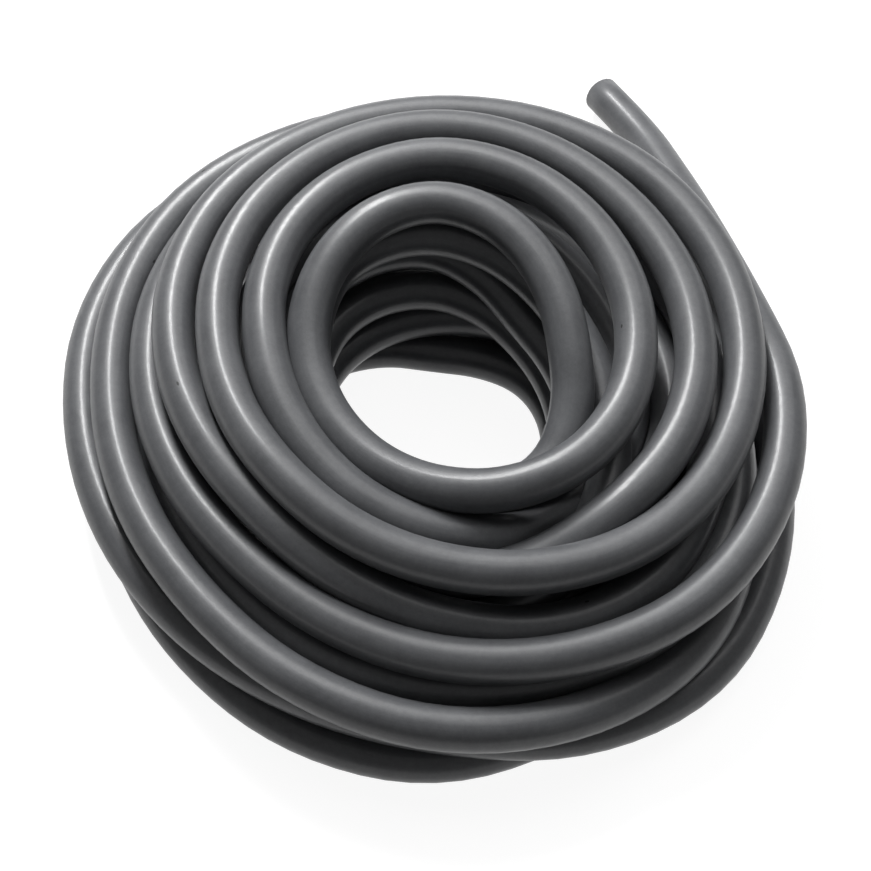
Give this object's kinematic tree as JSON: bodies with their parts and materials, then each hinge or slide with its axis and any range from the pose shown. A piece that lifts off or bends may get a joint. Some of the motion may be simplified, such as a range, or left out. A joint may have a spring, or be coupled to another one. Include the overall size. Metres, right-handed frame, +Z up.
{
  "type": "soaker hose",
  "caption": "Smooth dark rubber soaker hose wound into a loose flat-lying coil, with two bare cut ends and no fittings.",
  "frame": {"origin": "on the floor under the middle of the whole object", "axes": "+Z up, +Y from the front of the coil to the side where the free end lies, +X to the right seen from the front"},
  "size_m": [0.3179, 0.3806, 0.1118],
  "materials": {
    "hose_rubber": "satin"
  },
  "bodies": {
    "root": {"hose_coil": "hose_rubber", "outer_end": "hose_rubber", "inner_end": "hose_rubber"}
  },
  "joints": []
}
